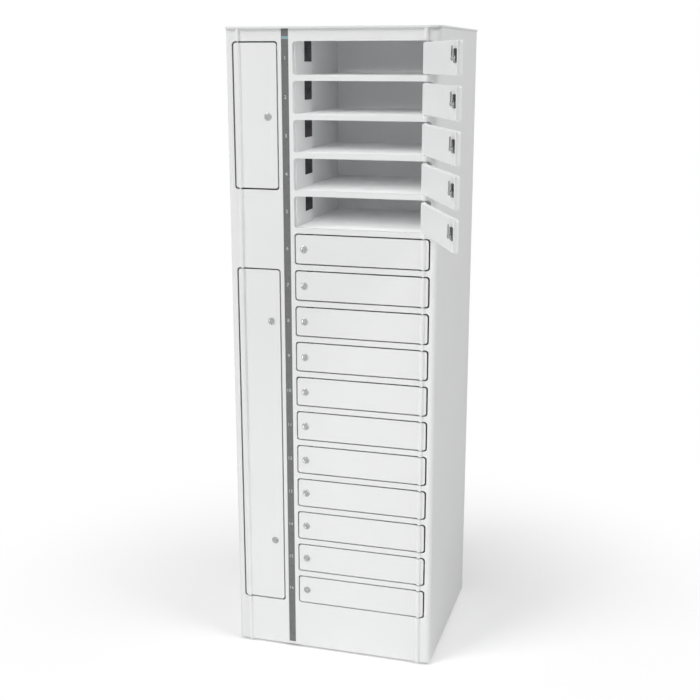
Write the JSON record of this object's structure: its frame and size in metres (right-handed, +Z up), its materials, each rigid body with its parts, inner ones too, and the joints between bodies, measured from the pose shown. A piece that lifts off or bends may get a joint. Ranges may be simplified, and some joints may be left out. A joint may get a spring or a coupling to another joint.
{
  "type": "laptop charging locker",
  "caption": "Tall free-standing steel charging locker: a stack of low hinged compartments with sockets beside a service column with two doors.",
  "frame": {"origin": "on the floor at the middle of the cabinet's footprint, at the centre of the four floor anchor holes", "axes": "+Z up, the front faces -Y, +X to the viewer's right, millimetre model stored in metres"},
  "size_m": [0.7503, 0.8899, 1.9],
  "materials": {
    "white_paint": "fine satin powder coat",
    "door_paint": "fine satin powder coat",
    "lock_chrome": "polished",
    "pin_steel": "bright drawn",
    "foot_metal": "zinc plated",
    "strip_grey": "satin tinted polycarbonate",
    "lens_blue": "back-lit tinted window",
    "board_green": "solder mask",
    "black_plastic": "fine moulded texture",
    "case_grey": "powder coat"
  },
  "bodies": {
    "cabinet": {"top_cover": "white_paint", "base_pan": "white_paint", "levelling_feet": "foot_metal", "side_panel_right": "white_paint", "side_panel_left": "white_paint", "back_panel": "white_paint", "mains_inlet": "black_plastic", "front_top_rail": "white_paint", "front_bottom_rail": "white_paint", "front_mid_panel": "white_paint", "compartment_rails": "white_paint", "front_stile": "white_paint", "indicator_strip": "strip_grey", "indicator_lenses": "lens_blue", "indicator_board": "board_green", "centre_partition": "white_paint", "compartment_back": "white_paint", "compartment_shelves": "white_paint", "wiring_trunk": "white_paint", "socket_outlets": "black_plastic", "power_rail": "black_plastic", "charge_controller": "case_grey", "hinge_pins": "pin_steel"},
    "door_01": {"door_01": "door_paint"},
    "lock_01": {"lock_01": "lock_chrome"},
    "door_02": {"door_02": "door_paint"},
    "lock_02": {"lock_02": "lock_chrome"},
    "door_03": {"door_03": "door_paint"},
    "lock_03": {"lock_03": "lock_chrome"},
    "door_04": {"door_04": "door_paint"},
    "lock_04": {"lock_04": "lock_chrome"},
    "door_05": {"door_05": "door_paint"},
    "lock_05": {"lock_05": "lock_chrome"},
    "door_06": {"door_06": "door_paint"},
    "lock_06": {"lock_06": "lock_chrome"},
    "door_07": {"door_07": "door_paint"},
    "lock_07": {"lock_07": "lock_chrome"},
    "door_08": {"door_08": "door_paint"},
    "lock_08": {"lock_08": "lock_chrome"},
    "door_09": {"door_09": "door_paint"},
    "lock_09": {"lock_09": "lock_chrome"},
    "door_10": {"door_10": "door_paint"},
    "lock_10": {"lock_10": "lock_chrome"},
    "door_11": {"door_11": "door_paint"},
    "lock_11": {"lock_11": "lock_chrome"},
    "door_12": {"door_12": "door_paint"},
    "lock_12": {"lock_12": "lock_chrome"},
    "door_13": {"door_13": "door_paint"},
    "lock_13": {"lock_13": "lock_chrome"},
    "door_14": {"door_14": "door_paint"},
    "lock_14": {"lock_14": "lock_chrome"},
    "door_15": {"door_15": "door_paint"},
    "lock_15": {"lock_15": "lock_chrome"},
    "door_16": {"door_16": "door_paint"},
    "lock_16": {"lock_16": "lock_chrome"},
    "service_door_upper": {"service_door_upper": "door_paint"},
    "lock_upper": {"lock_upper": "lock_chrome"},
    "service_door_lower": {"service_door_lower": "door_paint"},
    "lock_lower_top": {"lock_lower_top": "lock_chrome"},
    "lock_lower_bottom": {"lock_lower_bottom": "lock_chrome"}
  },
  "joints": [
    {"name": "door_01_hinge", "type": "hinge", "parent": "cabinet", "child": "door_01", "pos_m": [0.2725, -0.272, 1.81425], "axis": [0, 0, 1], "range_deg": [-115.8, 4.2]},
    {"name": "lock_01_turn", "type": "hinge", "parent": "door_01", "child": "lock_01", "pos_m": [0.40793, -0.60039, 1.81425], "axis": [0.9003, 0.4352, 0], "range_deg": [0, 90]},
    {"name": "door_02_hinge", "type": "hinge", "parent": "cabinet", "child": "door_02", "pos_m": [0.2725, -0.272, 1.70675], "axis": [0, 0, 1], "range_deg": [-115.8, 4.2]},
    {"name": "lock_02_turn", "type": "hinge", "parent": "door_02", "child": "lock_02", "pos_m": [0.40793, -0.60039, 1.70675], "axis": [0.9003, 0.4352, 0], "range_deg": [0, 90]},
    {"name": "door_03_hinge", "type": "hinge", "parent": "cabinet", "child": "door_03", "pos_m": [0.2725, -0.272, 1.59925], "axis": [0, 0, 1], "range_deg": [-115.8, 4.2]},
    {"name": "lock_03_turn", "type": "hinge", "parent": "door_03", "child": "lock_03", "pos_m": [0.40793, -0.60039, 1.59925], "axis": [0.9003, 0.4352, 0], "range_deg": [0, 90]},
    {"name": "door_04_hinge", "type": "hinge", "parent": "cabinet", "child": "door_04", "pos_m": [0.2725, -0.272, 1.49175], "axis": [0, 0, 1], "range_deg": [-115.8, 4.2]},
    {"name": "lock_04_turn", "type": "hinge", "parent": "door_04", "child": "lock_04", "pos_m": [0.40793, -0.60039, 1.49175], "axis": [0.9003, 0.4352, 0], "range_deg": [0, 90]},
    {"name": "door_05_hinge", "type": "hinge", "parent": "cabinet", "child": "door_05", "pos_m": [0.2725, -0.272, 1.38425], "axis": [0, 0, 1], "range_deg": [-115.8, 4.2]},
    {"name": "lock_05_turn", "type": "hinge", "parent": "door_05", "child": "lock_05", "pos_m": [0.40793, -0.60039, 1.38425], "axis": [0.9003, 0.4352, 0], "range_deg": [0, 90]},
    {"name": "door_06_hinge", "type": "hinge", "parent": "cabinet", "child": "door_06", "pos_m": [0.2725, -0.272, 1.27675], "axis": [0, 0, 1], "range_deg": [0, 120]},
    {"name": "lock_06_turn", "type": "hinge", "parent": "door_06", "child": "lock_06", "pos_m": [-0.0821, -0.251, 1.27675], "axis": [0, -1, 0], "range_deg": [0, 90]},
    {"name": "door_07_hinge", "type": "hinge", "parent": "cabinet", "child": "door_07", "pos_m": [0.2725, -0.272, 1.16925], "axis": [0, 0, 1], "range_deg": [0, 120]},
    {"name": "lock_07_turn", "type": "hinge", "parent": "door_07", "child": "lock_07", "pos_m": [-0.0821, -0.251, 1.16925], "axis": [0, -1, 0], "range_deg": [0, 90]},
    {"name": "door_08_hinge", "type": "hinge", "parent": "cabinet", "child": "door_08", "pos_m": [0.2725, -0.272, 1.06175], "axis": [0, 0, 1], "range_deg": [0, 120]},
    {"name": "lock_08_turn", "type": "hinge", "parent": "door_08", "child": "lock_08", "pos_m": [-0.0821, -0.251, 1.06175], "axis": [0, -1, 0], "range_deg": [0, 90]},
    {"name": "door_09_hinge", "type": "hinge", "parent": "cabinet", "child": "door_09", "pos_m": [0.2725, -0.272, 0.95425], "axis": [0, 0, 1], "range_deg": [0, 120]},
    {"name": "lock_09_turn", "type": "hinge", "parent": "door_09", "child": "lock_09", "pos_m": [-0.0821, -0.251, 0.95425], "axis": [0, -1, 0], "range_deg": [0, 90]},
    {"name": "door_10_hinge", "type": "hinge", "parent": "cabinet", "child": "door_10", "pos_m": [0.2725, -0.272, 0.84675], "axis": [0, 0, 1], "range_deg": [0, 120]},
    {"name": "lock_10_turn", "type": "hinge", "parent": "door_10", "child": "lock_10", "pos_m": [-0.0821, -0.251, 0.84675], "axis": [0, -1, 0], "range_deg": [0, 90]},
    {"name": "door_11_hinge", "type": "hinge", "parent": "cabinet", "child": "door_11", "pos_m": [0.2725, -0.272, 0.73925], "axis": [0, 0, 1], "range_deg": [0, 120]},
    {"name": "lock_11_turn", "type": "hinge", "parent": "door_11", "child": "lock_11", "pos_m": [-0.0821, -0.251, 0.73925], "axis": [0, -1, 0], "range_deg": [0, 90]},
    {"name": "door_12_hinge", "type": "hinge", "parent": "cabinet", "child": "door_12", "pos_m": [0.2725, -0.272, 0.63175], "axis": [0, 0, 1], "range_deg": [0, 120]},
    {"name": "lock_12_turn", "type": "hinge", "parent": "door_12", "child": "lock_12", "pos_m": [-0.0821, -0.251, 0.63175], "axis": [0, -1, 0], "range_deg": [0, 90]},
    {"name": "door_13_hinge", "type": "hinge", "parent": "cabinet", "child": "door_13", "pos_m": [0.2725, -0.272, 0.52425], "axis": [0, 0, 1], "range_deg": [0, 120]},
    {"name": "lock_13_turn", "type": "hinge", "parent": "door_13", "child": "lock_13", "pos_m": [-0.0821, -0.251, 0.52425], "axis": [0, -1, 0], "range_deg": [0, 90]},
    {"name": "door_14_hinge", "type": "hinge", "parent": "cabinet", "child": "door_14", "pos_m": [0.2725, -0.272, 0.41675], "axis": [0, 0, 1], "range_deg": [0, 120]},
    {"name": "lock_14_turn", "type": "hinge", "parent": "door_14", "child": "lock_14", "pos_m": [-0.0821, -0.251, 0.41675], "axis": [0, -1, 0], "range_deg": [0, 90]},
    {"name": "door_15_hinge", "type": "hinge", "parent": "cabinet", "child": "door_15", "pos_m": [0.2725, -0.272, 0.30925], "axis": [0, 0, 1], "range_deg": [0, 120]},
    {"name": "lock_15_turn", "type": "hinge", "parent": "door_15", "child": "lock_15", "pos_m": [-0.0821, -0.251, 0.30925], "axis": [0, -1, 0], "range_deg": [0, 90]},
    {"name": "door_16_hinge", "type": "hinge", "parent": "cabinet", "child": "door_16", "pos_m": [0.2725, -0.272, 0.20175], "axis": [0, 0, 1], "range_deg": [0, 120]},
    {"name": "lock_16_turn", "type": "hinge", "parent": "door_16", "child": "lock_16", "pos_m": [-0.0821, -0.251, 0.20175], "axis": [0, -1, 0], "range_deg": [0, 90]},
    {"name": "service_door_upper_hinge", "type": "hinge", "parent": "cabinet", "child": "service_door_upper", "pos_m": [-0.2725, -0.272, 1.653], "axis": [0, 0, -1], "range_deg": [0, 120]},
    {"name": "lock_upper_turn", "type": "hinge", "parent": "service_door_upper", "child": "lock_upper", "pos_m": [-0.1852, -0.251, 1.653], "axis": [0, 1, 0], "range_deg": [0, 90]},
    {"name": "service_door_lower_hinge", "type": "hinge", "parent": "cabinet", "child": "service_door_lower", "pos_m": [-0.2725, -0.272, 0.6855], "axis": [0, 0, -1], "range_deg": [0, 120]},
    {"name": "lock_lower_top_turn", "type": "hinge", "parent": "service_door_lower", "child": "lock_lower_top", "pos_m": [-0.1852, -0.251, 1.058], "axis": [0, 1, 0], "range_deg": [0, 90]},
    {"name": "lock_lower_bottom_turn", "type": "hinge", "parent": "service_door_lower", "child": "lock_lower_bottom", "pos_m": [-0.1852, -0.251, 0.357], "axis": [0, 1, 0], "range_deg": [0, 90]}
  ]
}
